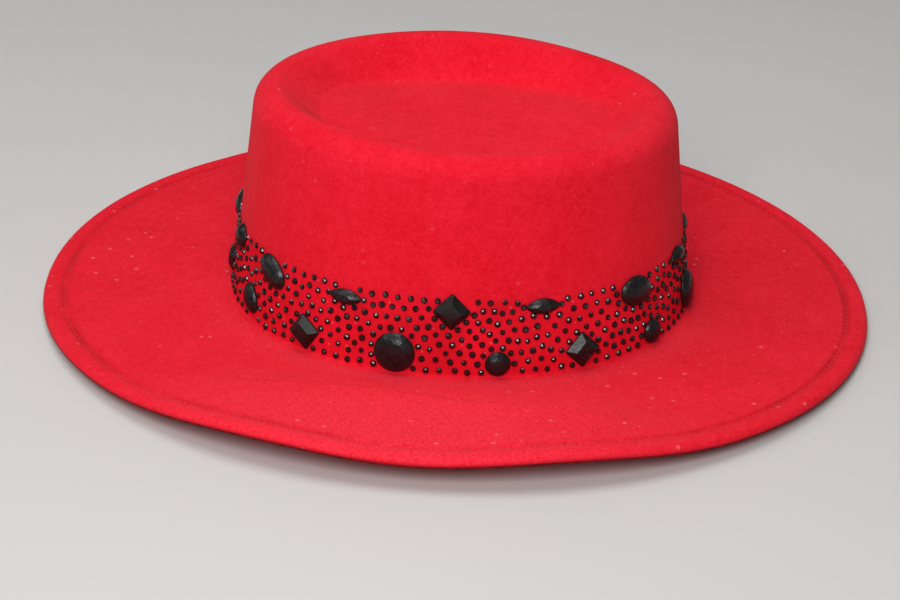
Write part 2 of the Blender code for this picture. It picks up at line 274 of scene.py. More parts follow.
def oval_walk(steps=4000):
    """The oval's angle and the distance walked from +X, once round, as two lists."""
    angles, walked = [0.0], [0.0]
    spot = oval_point(0.0)
    for i in range(1, steps + 1):
        angle = math.tau * i / steps
        after = oval_point(angle)
        walked.append(walked[-1] + (after - spot).length)
        angles.append(angle)
        spot = after
    return angles, walked


WALK_ANGLES, WALK_DISTANCES = oval_walk()
OVAL_LENGTH = WALK_DISTANCES[-1]


def angle_at(distance):
    """The oval's angle at a distance round it from +X. Distances wrap round."""
    laps, rest = divmod(distance, OVAL_LENGTH)
    high = min(bisect.bisect_right(WALK_DISTANCES, rest), len(WALK_DISTANCES) - 1)
    low = high - 1
    part = (rest - WALK_DISTANCES[low]) / (WALK_DISTANCES[high] - WALK_DISTANCES[low])
    angle = WALK_ANGLES[low] + part * (WALK_ANGLES[high] - WALK_ANGLES[low])
    return angle + math.tau * laps


def smooth_step(low, high, value):
    part = min(max((value - low) / (high - low), 0.0), 1.0)
    return part * part * (3 - 2 * part)


def plateau(value, low, low_end, high_start, high):
    """0 below low and above high, 1 from low_end to high_start, and smooth between."""
    return smooth_step(low, low_end, value) * (1 - smooth_step(high_start, high, value))


def hump(away, width):
    """1 in the middle, falling off on both sides like a bell curve of this width."""
    return math.exp(-(away / width) ** 2)


def mound(away, reach):
    """1 in the middle, falling smoothly to exactly 0 at reach on both sides."""
    return math.cos(math.pi / 2 * min(abs(away) / reach, 1.0)) ** 2


def left_sag(angle):
    """The soft sag in the middle of the left edge, with a rise on each side of it."""
    away = math.remainder(angle - LEFT_SAG_AT, math.tau)
    if abs(away) > LEFT_SAG_REACH:
        return 0.0
    return LEFT_SAG * math.cos(LEFT_SAG_WAVES * away) * (1 - (away / LEFT_SAG_REACH) ** 4) ** 2


def brim_lift(angle):
    rolled = BRIM_LIFT + BRIM_SIDE_LIFT * math.cos(2 * angle) + BRIM_LEFT_LIFT * math.cos(angle)
    twisted = rolled - BRIM_TWIST * math.sin(2 * angle)
    return max(twisted, -BRIM_FRONT_DROP) - left_sag(angle)


def fold_distance(spot):
    """How far a place on the left brim is beyond the soft fold that crosses it."""
    line = FOLD_AT + FOLD_SLANT * max(spot.y, -0.032)
    return (spot.x - line) / math.hypot(1.0, FOLD_SLANT)


def fold_strength(spot, out):
    """1 along the middle of the fold, fading at its ends, at the crown and at the welt."""
    return plateau(spot.y, -0.125, -0.070, 0.060, 0.100) * plateau(out, 0.003, 0.013, 0.064, 0.074)


def brim_wander(spot, out):
    """Unevenness of the hand-blocked brim: nothing at the band or at the resting edge."""
    broad = BROAD_WANDER * noise.noise(spot * 22)
    small = SMALL_WANDER * noise.noise(Vector((spot.x * 85 + 7, spot.y * 85, spot.z * 85)))
    rise = (broad + small) * plateau(out, 0.006, 0.030, 0.064, 0.073)
    if spot.x > 0:
        away = fold_distance(spot)
        ridge = FOLD_RISE * math.exp(-(math.hypot(away, FOLD_ROUNDING) - FOLD_ROUNDING) / FOLD_REACH)
        rise += fold_strength(spot, out) * (ridge - FOLD_LINE_DEPTH * hump(away, FOLD_LINE_WIDTH))
    swelling = WELT_DROOP * smooth_step(0.010, BRIM_WIDTH - DROOP_WIDTH, out)
    beyond = max((out - BRIM_WIDTH + DROOP_WIDTH) / DROOP_WIDTH, 0.0)
    return rise + swelling - WELT_DROOP * min(beyond, 1.0) ** 2


def soften_hollow(spot):
    """Soften the hollow's front and back: its floor curves up, and the rim is broader there."""
    across = spot.x / CREASE_HALF_WIDTH
    along = (spot.y - CROWN_SET_BACK) / CREASE_HALF_LENGTH
    reach = math.hypot(across, along)
    if not 0.1 < reach < HOLLOW_CREST:
        return
    towards_ends = abs(along / reach) ** 2.5
    floor = HOLLOW_FILL * plateau(reach, 0.30, 0.95, 0.98, 1.13)
    fillet = FOOT_FILLET * mound(reach - FOOT_AT, FOOT_REACH)
    shoulder = SHOULDER_DROP * mound(reach - SHOULDER_AT, SHOULDER_REACH)
    inwards = plateau(reach, 0.45, 0.95, 1.10, HOLLOW_CREST)
    spot.z += towards_ends * (floor + fillet - shoulder)
    spot.y -= math.copysign(HOLLOW_SHORTENING * towards_ends * inwards, along)


def place(out, up, angle, scale=1.0):
    """A section point at one angle round the hat, in the hat's own frame."""
    corner = math.sin(2 * angle)
    if up > 0.02:
        out -= RIM_PINCH * (up / CROWN_MIDDLE_HEIGHT) ** 4 * corner ** 2 * (1 - 0.4 * corner)
    spot = (oval_point(angle) + oval_normal(angle) * out) * scale
    reach = (out - BRIM_CURVE_START) / (BRIM_WIDTH - WELT_WIDTH - BRIM_CURVE_START)
    reach = min(max(reach, 0.0), 1.0)
    height = up + brim_lift(angle) * reach * (1 + BRIM_FULLNESS * (1 - reach))
    if up > 0:
        height -= up * CROWN_FRONT_RISE / CROWN_MIDDLE_HEIGHT * spot.y / HEAD_HALF_LENGTH
    spot.y += CROWN_SET_BACK * (1 - reach)
    spot.z = height + BREAK_LEVEL
    if out > 0.002:
        spot.z += brim_wander(spot, out)
    if up > 0.05:
        soften_hollow(spot)
    return spot


# Mesh helpers -------------------------

def link_object(name, data):
    """A new object in the scene."""
    made = bpy.data.objects.new(name, data)
    bpy.context.scene.collection.objects.link(made)
    return made


def finish_mesh(name, bm, material):
    """The bmesh as a mesh with its material."""
    mesh = bpy.data.meshes.new(name)
    bm.to_mesh(mesh)
    bm.free()
    mesh.materials.append(material)
    return mesh


def add_piece(name, bm, material, node_names=(), smooth_angle=0):
    """Turn a bmesh into a piece that rides on the hat and stands for its CAD nodes."""
    bmesh.ops.recalc_face_normals(bm, faces=bm.faces)
    mesh = finish_mesh(name, bm, material)
    if smooth_angle:
        mesh.shade_smooth()
        mesh.set_sharp_from_angle(angle=math.radians(smooth_angle))
    piece = link_object(name, mesh)
    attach(piece, "root")
    if node_names:
        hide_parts(*node_names)
    return piece


def bridge(bm, one, two):
    """Faces between two rings with the same number of points."""
    for i in range(len(one)):
        j = (i + 1) % len(one)
        bm.faces.new((one[i], one[j], two[j], two[i]))


def skin_rings(bm, rings):
    """Faces along a row of rings, with a flat cap at each end."""
    for one, two in zip(rings, rings[1:]):
        bridge(bm, one, two)
    bm.faces.new(rings[0])
    bm.faces.new(rings[-1])


def cap_with_pole(bm, ring):
    middle = sum((vert.co for vert in ring), Vector()) / len(ring)
    pole = bm.verts.new(middle)
    for i, vert in enumerate(ring):
        bm.faces.new((vert, ring[(i + 1) % len(ring)], pole))


def sweep_rows(bm, rows, closed=True, around=AROUND):
    """Sweep section rows round the hat; an open line is capped at both ends."""
    rings = []
    for row in rows:
        spots = [place(row[0], row[1], math.tau * i / around, *row[2:]) for i in range(around)]
        rings.append([bm.verts.new(spot) for spot in spots])
    for one, two in zip(rings, rings[1:]):
        bridge(bm, one, two)
    if closed:
        bridge(bm, rings[-1], rings[0])
    else:
        cap_with_pole(bm, rings[0])
        cap_with_pole(bm, rings[-1])


def arc(center, radii, start, end, steps):
    """Points along an ellipse's arc, from start to end in degrees."""
    turns = [math.radians(start + (end - start) * i / steps) for i in range(steps + 1)]
    return [
        (center[0] + radii[0] * math.cos(turn), center[1] + radii[1] * math.sin(turn))
        for turn in turns
    ]


def between(first, last, steps):
    """Points from first to last, first left out and last included."""
    return [
        (first[0] + (last[0] - first[0]) * i / steps,
         first[1] + (last[1] - first[1]) * i / steps)
        for i in range(1, steps + 1)
    ]


def offset_line(points, distance):
    """The same line moved sideways by distance, mitred at its corners."""
    spots = [Vector(point) for point in points]
    steps = [after - before for before, after in zip(spots, spots[1:])]
    shifted = []
    for here, first, second in zip(spots, steps[:1] + steps, steps + steps[-1:]):
        side_a = Vector((first.y, -first.x)).normalized()
        side_b = Vector((second.y, -second.x)).normalized()
        middle = (side_a + side_b).normalized()
        shifted.append(tuple(here + middle * distance / middle.dot(side_a)))
    return shifted


def regular(sides, turn=0.0):
    """A regular outline of radius 1, turned by a part of one side."""
    angles = [math.tau * (i + turn) / sides for i in range(sides)]
    return [(math.cos(angle), math.sin(angle)) for angle in angles]


def tube_along(bm, spots, radius_at, sides=6):
    """A round tube through spots, with capped ends and a radius for each spot."""
    rings = []
    for i, spot in enumerate(spots):
        ahead = spots[min(i + 1, len(spots) - 1)] - spots[max(i - 1, 0)]
        turn = ahead.to_track_quat("Z", "Y")
        rims = [Vector((x, y, 0)) * radius_at(i) for x, y in regular(sides)]
        rings.append([bm.verts.new(spot + turn @ rim) for rim in rims])
    skin_rings(bm, rings)


# Material helpers ---------------------

def new_material(name, roughness, **shader_values):
    """A node material with constant values on the shader's own sockets."""
    material = bpy.data.materials.new(name)
    material.use_nodes = True
    shader = material.node_tree.nodes["Principled BSDF"]
    shader.inputs["Roughness"].default_value = roughness
    for key, value in shader_values.items():
        shader.inputs[key.replace("_", " ")].default_value = value
    return material, material.node_tree, shader


def add_node(tree, kind, **values):
    """A node with constants on its sockets, or on its own settings where no socket is named so."""
    node = tree.nodes.new("ShaderNode" + kind)
    for key, value in values.items():
        if key in node.inputs:
            node.inputs[key].default_value = value
        else:
            setattr(node, key, value)
    return node


def object_coordinates(tree, scale=(1, 1, 1), rotation=(0, 0, 0)):
    source = add_node(tree, "TexCoord")
    mapping = add_node(tree, "Mapping", Scale=scale, Rotation=rotation)
    tree.links.new(source.outputs["Object"], mapping.inputs["Vector"])
    return mapping.outputs["Vector"]


def noise_field(tree, vector, scale, detail=4.0, roughness=0.6, distortion=0.0):
    node = add_node(
        tree, "TexNoise", Scale=scale, Detail=detail, Roughness=roughness, Distortion=distortion)
    tree.links.new(vector, node.inputs["Vector"])
    return node.outputs["Fac"]


def remap(tree, value, low, high, out_low=0.0, out_high=1.0):
    ends = {"From Min": low, "From Max": high, "To Min": out_low, "To Max": out_high}
    node = add_node(tree, "MapRange", **ends)
    tree.links.new(value, node.inputs["Value"])
    return node.outputs["Result"]


def maths(tree, operation, one, two):
    node = add_node(tree, "Math", operation=operation)
    for socket, value in zip(node.inputs, (one, two)):
        if isinstance(value, (int, float)):
            socket.default_value = value
        else:
            tree.links.new(value, socket)
    return node.outputs["Value"]


def attribute(tree, name):
    """A value that the mesh carries at each point."""
    return add_node(tree, "Attribute", attribute_name=name).outputs["Fac"]


def times(tree, one, two):
    return maths(tree, "MULTIPLY", one, two)


def mix_colors(tree, factor, one, two):
    node = add_node(tree, "Mix", data_type="RGBA")
    tree.links.new(factor, node.inputs["Factor"])
    color_sockets = [socket for socket in node.inputs if socket.type == "RGBA"]
    for socket, value in zip(color_sockets, (one, two)):
        if isinstance(value, tuple):
            socket.default_value = (*value, 1.0)
        else:
            tree.links.new(value, socket)
    return next(socket for socket in node.outputs if socket.type == "RGBA")


def add_color(tree, shader, color):
    tree.links.new(color, shader.inputs["Base Color"])


def add_roughness(tree, shader, value, low, high, smoothest, roughest):
    """Roughness that follows a value, from smoothest at low to roughest at high."""
    tree.links.new(remap(tree, value, low, high, smoothest, roughest), shader.inputs["Roughness"])


def add_bump(tree, shader, height, strength, distance):
    node = add_node(tree, "Bump", Strength=strength, Distance=distance)
    tree.links.new(height, node.inputs["Height"])
    tree.links.new(node.outputs["Normal"], shader.inputs["Normal"])


def lint(tree, vector, cells, radius, share):
    """Scattered specks: round spots in a share of a cell pattern's cells."""
    node = add_node(tree, "TexVoronoi", Scale=cells)
    tree.links.new(vector, node.inputs["Vector"])
    spot = remap(tree, node.outputs["Distance"], radius, radius * 0.35)
    split = add_node(tree, "SeparateColor")
    tree.links.new(node.outputs["Color"], split.inputs["Color"])
    chosen = maths(tree, "GREATER_THAN", split.outputs[0], 1 - share)
    return times(tree, spot, chosen)


def weighted_sum(tree, *parts):
    """Values added up, each times its weight."""
    total = 0.0
    for value, weight in parts:
        total = maths(tree, "ADD", times(tree, value, weight), total)
    return total


# Materials ----------------------------

def felt_material():
    """Brushed wool felt: matted fibres, handled patches, dust and painted light, lint, seam shade
    and painted edge shade.
    """
    material, tree, shader = new_material(
        "wool_felt", 0.95, Sheen_Weight=0.11, Sheen_Roughness=0.45,
        Sheen_Tint=(1.0, 0.30, 0.30, 1.0), Specular_IOR_Level=0.08)
    plain = object_coordinates(tree)
    combed = object_coordinates(tree, scale=(1500, 420, 900), rotation=(0.4, 0.2, 0.9))
    fibres = noise_field(tree, plain, 760, detail=6.0, roughness=0.72, distortion=0.8)
    strands = noise_field(tree, combed, 1.0, distortion=1.6)
    tufts = noise_field(tree, plain, 230, distortion=0.4)
    patches = noise_field(tree, plain, 34, detail=3.0, roughness=0.55)
    handled = noise_field(tree, plain, 9, detail=2.0, roughness=0.5)
    tone = weighted_sum(
        tree, (remap(tree, fibres, 0.38, 0.62), 0.42), (remap(tree, tufts, 0.36, 0.64), 0.22),
        (remap(tree, strands, 0.35, 0.65), 0.14), (remap(tree, patches, 0.32, 0.68), 0.22))
    matted = mix_colors(tree, tone, FELT_DEEP, FELT_BRIGHT)
    worn = mix_colors(tree, remap(tree, handled, 0.50, 0.75, 0.0, 0.30), matted, FELT_WORN)
    # Partly dust, partly painted light: lightens the +X side's near brim and the brim by the band.
    dust_and_light_amount = times(tree, attribute(tree, "dust_and_painted_light"), remap(tree, fibres, 0.38, 0.62, 0.14, 0.82))
    dust_and_light_mixed = mix_colors(tree, dust_and_light_amount, worn, FELT_DUST_AND_LIGHT)
    large_specks = times(tree, lint(tree, plain, 90, 0.115, 0.7), 0.34)
    small_specks = times(tree, lint(tree, plain, 220, 0.125, 0.6), 0.24)
    both_specks = maths(tree, "MAXIMUM", large_specks, small_specks)
    specks = times(tree, both_specks, attribute(tree, "lint_share"))
    linted = mix_colors(tree, specks, dust_and_light_mixed, LINT_PINK)
    shade = times(tree, attribute(tree, "seam_shade"), remap(tree, patches, 0.36, 0.62, 0.12, 0.56))
    seamed = mix_colors(tree, shade, linted, SEAM_DARK)
    # Painted shade: the underside of the brim's edge is darkened as if in shadow.
    edge_shaded = times(tree, attribute(tree, "edge_painted_shade"), remap(tree, tufts, 0.36, 0.64, 0.72, 0.96))
    add_color(tree, shader, mix_colors(tree, edge_shaded, seamed, EDGE_SHADE_DARK))
    add_roughness(tree, shader, fibres, 0.3, 0.7, 0.86, 0.98)
    nap = weighted_sum(tree, (fibres, 0.6), (strands, 0.5), (specks, 0.5))
    add_bump(tree, shader, nap, 0.75, 0.00060)
    return material


def band_material():
    """Thin satin backing: a fine grain under a smooth saturated red, with specks of glue."""
    material, tree, shader = new_material("satin_backing", 0.80, Specular_IOR_Level=0.12)
    plain = object_coordinates(tree)
    tone = noise_field(tree, plain, 60, detail=3.0, roughness=0.5)
    grain = noise_field(tree, plain, 2400, detail=2.0, roughness=0.5)
    color = mix_colors(tree, remap(tree, tone, 0.35, 0.65), BAND_DEEP, BAND_BRIGHT)
    glue = times(tree, lint(tree, plain, 260, 0.16, 0.5), 0.45)
    add_color(tree, shader, mix_colors(tree, glue, color, GLUE_PINK))
    add_roughness(tree, shader, tone, 0.3, 0.7, 0.74, 0.88)
    add_bump(tree, shader, grain, 0.25, 0.00012)
    return material


def thread_material(name, dark, light):
    """Twisted sewing thread: fine slanting plies."""
    material, tree, shader = new_material(name, 0.7, Sheen_Weight=0.25, Sheen_Roughness=0.4)
    plies = add_node(tree, "TexWave", Scale=900, Distortion=2.0)
    tree.links.new(object_coordinates(tree, rotation=(0.5, 0.6, 0.3)), plies.inputs["Vector"])
    add_color(tree, shader, mix_colors(tree, plies.outputs["Fac"], dark, light))
    add_bump(tree, shader, plies.outputs["Fac"], 0.5, 0.00008)
    return material


def stone_material(name, roughness, ior, shade):
    """Polished black glass: faint clouding in its colour and hairline wear in its gloss."""
    material, tree, shader = new_material(name, roughness, IOR=ior)
    plain = object_coordinates(tree)
    rubbed = object_coordinates(tree, scale=(2600, 400, 1300), rotation=(0.7, 0.1, 0.5))
    cloud = noise_field(tree, plain, 420, detail=3.0)
    wear = noise_field(tree, rubbed, 1.0, detail=3.0)
    dark = tuple(part * 0.6 for part in shade)
    light = tuple(part * 1.7 for part in shade)
    add_color(tree, shader, mix_colors(tree, remap(tree, cloud, 0.35, 0.7), dark, light))
    add_roughness(tree, shader, wear, 0.35, 0.75, roughness * 0.7, roughness * 1.6)
    add_bump(tree, shader, wear, 0.06, 0.00004)
    return material


def leather_material():
    """Smooth black hat leather with a fine pebble grain and a mottled tone."""
    material, tree, shader = new_material("hat_leather", 0.48, Specular_IOR_Level=0.4)
    plain = object_coordinates(tree)
    grain = add_node(tree, "TexVoronoi", feature="DISTANCE_TO_EDGE", Scale=1300)
    tree.links.new(plain, grain.inputs["Vector"])
    pebbles = remap(tree, grain.outputs["Distance"], 0.0, 0.25)
    tone = noise_field(tree, plain, 70)
    worn = remap(tree, tone, 0.35, 0.7)
    add_color(tree, shader, mix_colors(tree, worn, (0.012, 0.011, 0.010), (0.030, 0.027, 0.024)))
    add_roughness(tree, shader, tone, 0.3, 0.7, 0.40, 0.58)
    add_bump(tree, shader, pebbles, 0.45, 0.00014)
    return material


def ribbon_material():
    """Black grosgrain: ribs across the ribbon."""
    material, tree, shader = new_material("grosgrain", 0.6, Sheen_Weight=0.2, Sheen_Roughness=0.4)
    ribs = add_node(tree, "TexWave", bands_direction="X", Scale=420, Distortion=0.3)
    tree.links.new(object_coordinates(tree), ribs.inputs["Vector"])
    color = mix_colors(tree, ribs.outputs["Fac"], (0.006, 0.006, 0.007), (0.022, 0.022, 0.024))
    add_color(tree, shader, color)
    add_bump(tree, shader, ribs.outputs["Fac"], 0.7, 0.00012)
    return material


def wire_material():
    """Drawn spring steel with faint draw lines."""
    material, tree, shader = new_material("drawn_wire", 0.35, Metallic=1.0)
    lines = noise_field(tree, object_coordinates(tree, scale=(300, 300, 3000)), 1.0, detail=3.0)
    add_color(tree, shader, mix_colors(tree, lines, (0.30, 0.30, 0.31), (0.55, 0.55, 0.57)))
    add_roughness(tree, shader, lines, 0.3, 0.7, 0.25, 0.45)
    return material


def cord_material():
    """Black plastic reed cord with a slightly mottled skin."""
    material, tree, shader = new_material("reed_skin", 0.45)
    tone = noise_field(tree, object_coordinates(tree), 500, detail=3.0)
    add_color(tree, shader, mix_colors(tree, tone, (0.012, 0.012, 0.012), (0.045, 0.045, 0.045)))
    add_bump(tree, shader, tone, 0.2, 0.0001)
    return material


# The felt body ------------------------

def wall_out(up):
    return -WALL_LEAN * up


def crown_section():
    """Outside of the crown from the tip's crease, over the rim and down to the brim."""
    top = CROWN_MIDDLE_HEIGHT
    shoulder = top - RIM_OUTER_RADIUS
    crest = wall_out(shoulder) - RIM_OUTER_RADIUS
    roll = math.degrees(RIM_ROLL_ANGLE)
    inner_arc = arc((crest, top - RIM_INNER_RADIUS), (RIM_INNER_RADIUS,) * 2, 90 + roll, 90, 9)
    lean = math.degrees(math.atan(WALL_LEAN))
    outer_arc = arc((crest, shoulder), (RIM_OUTER_RADIUS,) * 2, 90, lean, 14)
    crease_up = top - TIP_DEPTH
    foot_up = crease_up + TIP_CREASE_HEIGHT
    foot_out = inner_arc[0][0] - (inner_arc[0][1] - foot_up) / math.tan(RIM_ROLL_ANGLE)
    start = Vector((foot_out - TIP_CREASE_RUN, crease_up))
    corner = Vector((foot_out - TIP_CREASE_HEIGHT / math.tan(RIM_ROLL_ANGLE), crease_up))
    foot = Vector((foot_out, foot_up))
    parts = [i / 7 for i in range(7)]
    crease = [
        tuple(start.lerp(corner, part).lerp(corner.lerp(foot, part), part)) for part in parts]
    slope = [tuple(foot)] + between(tuple(foot), inner_arc[0], 6)[:-1]
    break_arc = arc((BREAK_RADIUS, BREAK_RADIUS), (BREAK_RADIUS,) * 2, 180, 270, 7)
    wall = between(outer_arc[-1], break_arc[0], 22)[:-1]
    return crease + slope + inner_arc + outer_arc[1:] + wall + break_arc


def brim_top_height(out):
    """The welt as it shows on top: a soft valley at the stitching and the layer beneath."""
    valley = SEAM_DEPTH * hump(out - SEAM_AT, SEAM_HALF_WIDTH)
    inner_lip = 0.00012 * hump(out - SEAM_AT + 0.0021, 0.0009)
    step = LAYER_STEP * smooth_step(LAYER_END - 0.0018, LAYER_END + 0.0008, out)
    swell = smooth_step(SEAM_AT + 0.0006, BRIM_WIDTH - 0.0045, out)
    return step - valley + inner_lip + (WELT_SWELL - LAYER_STEP) * swell


def felt_outside():
    """The crown's outside and the plain brim, as far as the welt."""
    return crown_section() + between((BREAK_RADIUS, 0.0), (WELT_START, 0.0), 62)


def turned_edge():
    """From the plain brim over the welt, round the edge and back along the turned layer."""
    end = BRIM_WIDTH - NOSE_RADIUS
    top = [(out, brim_top_height(out)) for out, _ in between((WELT_START, 0.0), (end, 0.0), 56)]
    nose_middle = (top[-1][1] - WELT_THICKNESS) / 2
    nose_height = (top[-1][1] + WELT_THICKNESS) / 2
    nose = arc((end, nose_middle), (NOSE_RADIUS, nose_height), 90, -90, 16)[1:]
    bottom = []
    for out, _ in between((end, 0.0), (LAYER_END + 0.0004, 0.0), 24):
        groove = BOBBIN_GROOVE_DEPTH * hump(out - SEAM_AT, 0.00055)
        bottom.append((out, -WELT_THICKNESS + groove))
    cut = [
        (LAYER_END, -WELT_THICKNESS + 0.0004), (LAYER_END, -FELT - GAP - 0.0003),
        (LAYER_END + 0.0003, -FELT - GAP),
    ]
    mouth = math.degrees(math.asin(GAP / 2 / TUNNEL_RADIUS))
    tunnel = arc(WIRE_CENTER, (TUNNEL_RADIUS,) * 2, 180 + mouth, 540 - mouth, 12)
    return top + nose + bottom + cut + tunnel


def make_felt_body(material):
    outside = felt_outside()
    inside = offset_line(outside, FELT)
    tip_out, tip_up = outside[0]
    inner_out, inner_up = inside[0]
    dome = [(scale, TIP_DOME * (1 - smooth_step(0.62, 1.0, scale))) for scale in TIP_SCALES]
    outer_tip = [(tip_out, tip_up + rise, scale) for scale, rise in dome]
    inner_tip = [(inner_out, inner_up + rise, scale) for scale, rise in reversed(dome)]
    rows = outer_tip + outside + turned_edge() + list(reversed(inside)) + inner_tip
    bm = bmesh.new()
    sweep_rows(bm, rows, closed=False, around=FELT_AROUND)
    body = add_piece("felt_hat_body", bm, material, ["felt_body"], smooth_angle=50)
    mark_felt(body, rows)


def felt_marks(out, up, in_tip, spot):
    """Seam or fold shade, dust with painted light, share of lint and painted edge shade at one point
    of the felt.
    """
    on_brim = out > 0.003 and not in_tip
    below_rim = out < 0.003 and 0.002 < up < CROWN_MIDDLE_HEIGHT - RIM_OUTER_RADIUS
    shade = hump(out - SEAM_AT, SEAM_SHADE_WIDTH) if on_brim else 0.0
    lint_share = BRIM_LINT if on_brim else CROWN_LINT if below_rim else RIM_LINT
    dust_and_light = edge_shade = 0.0
    if on_brim and up > -FELT / 2:
        # Partly dust, partly a painted pool of light on the near brim facing +X.
        near_edge_dust_and_light = smooth_step(0.085, 0.135, spot.x) * hump(spot.y + 0.020, 0.105)
        # Painted light beside the band, brightening felt that lies in the band's shade.
        painted_light_by_band = 0.5 * hump(out - 0.009, 0.008) * smooth_step(0.0, 0.05, spot.x)
        dust_and_light = max(near_edge_dust_and_light, painted_light_by_band)
        if spot.x > 0:
            strength, away = fold_strength(spot, out), fold_distance(spot)
            shade = max(shade, FOLD_SHADE * hump(away, 0.0014) * strength)
            lint_share += FOLD_LINT * hump(away, 0.007) * strength
    # Painted shade under the nose of the edge, strongest on the +X side: the shadow between edge and
    # floor.
    if out > BRIM_WIDTH - NOSE_RADIUS:
        left_side = (1 - FAR_SIDE_EDGE_SHADE) * smooth_step(-0.05, 0.08, spot.x)
        edge_shade = smooth_step(EDGE_SHADE_START, EDGE_SHADE_FULL, -up) * (FAR_SIDE_EDGE_SHADE + left_side)
    return shade, dust_and_light, lint_share, edge_shade


def mark_felt(body, rows):
    """Keep felt_marks on the mesh, point by point, for the felt's material."""
    names = ("seam_shade", "dust_and_painted_light", "lint_share", "edge_painted_shade")
    fields = [body.data.attributes.new(name, "FLOAT", "POINT") for name in names]
    for number, row in enumerate(rows):
        for i in range(number * FELT_AROUND, (number + 1) * FELT_AROUND):
            marks = felt_marks(row[0], row[1], len(row) > 2, body.data.vertices[i].co)
            for field, value in zip(fields, marks):
                field.data[i].value = value


def make_brim_wire(material):
    """The wire in its tunnel, following the brim's edge."""
    bm = bmesh.new()
    sweep_rows(bm, arc(WIRE_CENTER, (WIRE_RADIUS,) * 2, 0, 330, 11), around=FELT_AROUND)
    add_piece("edge_wire", bm, material, ["brim_wire"], smooth_angle=60)


# Stitching ----------------------------

def make_stitches(name, up, sink, material, node):
    """Separate stitches end to end along the brim's edge, each dipping into the felt."""
    bm = bmesh.new()
    line = [place(SEAM_AT, up, math.tau * i / AROUND) for i in range(AROUND + 1)]
    count = round(sum((two - one).length for one, two in zip(line, line[1:])) / STITCH_PITCH)
    for number in range(count):
        middle = math.tau * number / count
        half = math.pi / count * STITCH_LENGTH / STITCH_PITCH * STITCH_OVERLAP
        parts = [-1 + k / 3 for k in range(7)]
        spots = [
            place(SEAM_AT, up + sink * abs(part) ** 4, middle + half * part) for part in parts]
        tube_along(bm, spots, lambda i: STITCH_RADIUS * (0.55 if i in (0, 6) else 1.0))
    add_piece(name, bm, material, [node], smooth_angle=60)


# The band -----------------------------

def band_seat(up):
    """The felt's outside beneath the band, from the brim's break up the wall."""
    if up >= BREAK_RADIUS:
        return wall_out(up)
    height = BREAK_RADIUS - up
    return BREAK_RADIUS - math.sqrt(max(BREAK_RADIUS ** 2 - height ** 2, 0.0))


def band_face(up):
    """The band's outer face; it thins to almost nothing towards both edges."""
    edge = min(up - BAND_LOW, BAND_TOP - up)
    return band_seat(up) + 0.00008 + 0.00030 * smooth_step(-0.0002, 0.0018, edge)


def make_band(material):
    """One strip, laid round the crown with its end lapped over its start on the right side."""
    lap_start = angle_at(LAP_AT)
    levels = [BAND_LOW + (BAND_TOP - BAND_LOW) * i / 24 for i in range(25)]
    bm = bmesh.new()
    sections = []
    for i in range(AROUND + 1):
        turn = (math.tau + LAP_ANGLE) * i / AROUND
        lifted = LAP_THICKNESS * smooth_step(math.tau - 0.02, math.tau, turn)
        inner = [(band_seat(up) + 0.00003 + lifted, up) for up in levels]
        outer = [(band_face(up) + lifted, up) for up in reversed(levels)]
        spots = [place(out, up, lap_start + turn) for out, up in inner + outer]
        sections.append([bm.verts.new(spot) for spot in spots])
    skin_rings(bm, sections)
    add_piece("jewel_band_strip", bm, material, ["stud_band"], smooth_angle=50)


def band_frame(distance, up):
    """Where something sits on the band: X along it, Y up the wall and Z outwards."""
    angle = angle_at(distance)
    spot = place(band_face(up), up, angle)
    above = place(band_face(up + 0.004), up + 0.004, angle)
    uphill = (above - spot).normalized()
    outward = oval_normal(angle)
    outward = (outward - uphill * outward.dot(uphill)).normalized()
    along = uphill.cross(outward).normalized()
    turn = Matrix((along, uphill, outward)).transposed()
    return Matrix.Translation(spot) @ turn.to_4x4()


# Stones -------------------------------

def whole_row(left_side, row, kinds):
    """The left side's stones, then one of each kind evenly spaced round the rest of the band."""
    start = left_side[-1][0]
    room = OVAL_LENGTH - (start - left_side[0][0])
    step = room / (len(kinds) + 1)
    return left_side + [(start + step * (i + 1), row, 0, kind) for i, kind in enumerate(kinds)]


def all_stones():
    """Every large stone as (row name, number, distance, height, turn, kind)."""
    rows = (
        ("top", whole_row(TOP_STONES, TOP_ROW, RIGHT_TOP_KINDS)),
        ("bottom", whole_row(BOTTOM_STONES, BOTTOM_ROW, RIGHT_BOTTOM_KINDS)),
    )
    return [
        (row_name, number, distance, up, math.radians(turn), kind)
        for row_name, stones in rows
        for number, (distance, up, turn, kind) in enumerate(stones, start=1)
    ]


def pointed(sides):
    """An outline drawn in to a point at its left and right ends."""
    return [(x, math.copysign(abs(y) ** 1.35, y)) for x, y in regular(sides)]


def stone_tiers(kind):
    """Rings of a cut stone as (outline, size, height from 0 to 1 or None at the girdle)."""
    if kind == "square":
        corner = 0.06
        outline = []
        for x, y in regular(4):
            outline.append((x * (1 - corner) - y * corner, y * (1 - corner) + x * corner))
            outline.append((x * (1 - corner) + y * corner, y * (1 - corner) - x * corner))
        return [
            (outline, 1.0, 0.0), (outline, 1.0, None),
            (regular(4), 0.52, 0.97), (regular(4), 0.30, 1.0),
        ]
    if kind == "marquise":
        return [
            (pointed(20), 0.97, 0.0), (pointed(20), 1.0, None),
            (pointed(10), 0.78, 0.62), (pointed(6), 0.45, 1.0),
        ]
    foot = [(regular(36), 0.97, 0.0), (regular(36), 1.0, None)]
    if kind == "large_round":
        return foot + [
            (regular(20), 0.91, 0.45), (regular(16, 0.5), 0.76, 0.72), (regular(12), 0.57, 0.89),
            (regular(8, 0.5), 0.36, 0.97), (regular(4, 0.3), 0.14, 1.0),
        ]
    return foot + [
        (regular(16), 0.88, 0.52), (regular(8, 0.25), 0.66, 0.82),
        (regular(8, 0.75), 0.42, 0.96), (regular(8, 0.25), 0.20, 1.0),
    ]


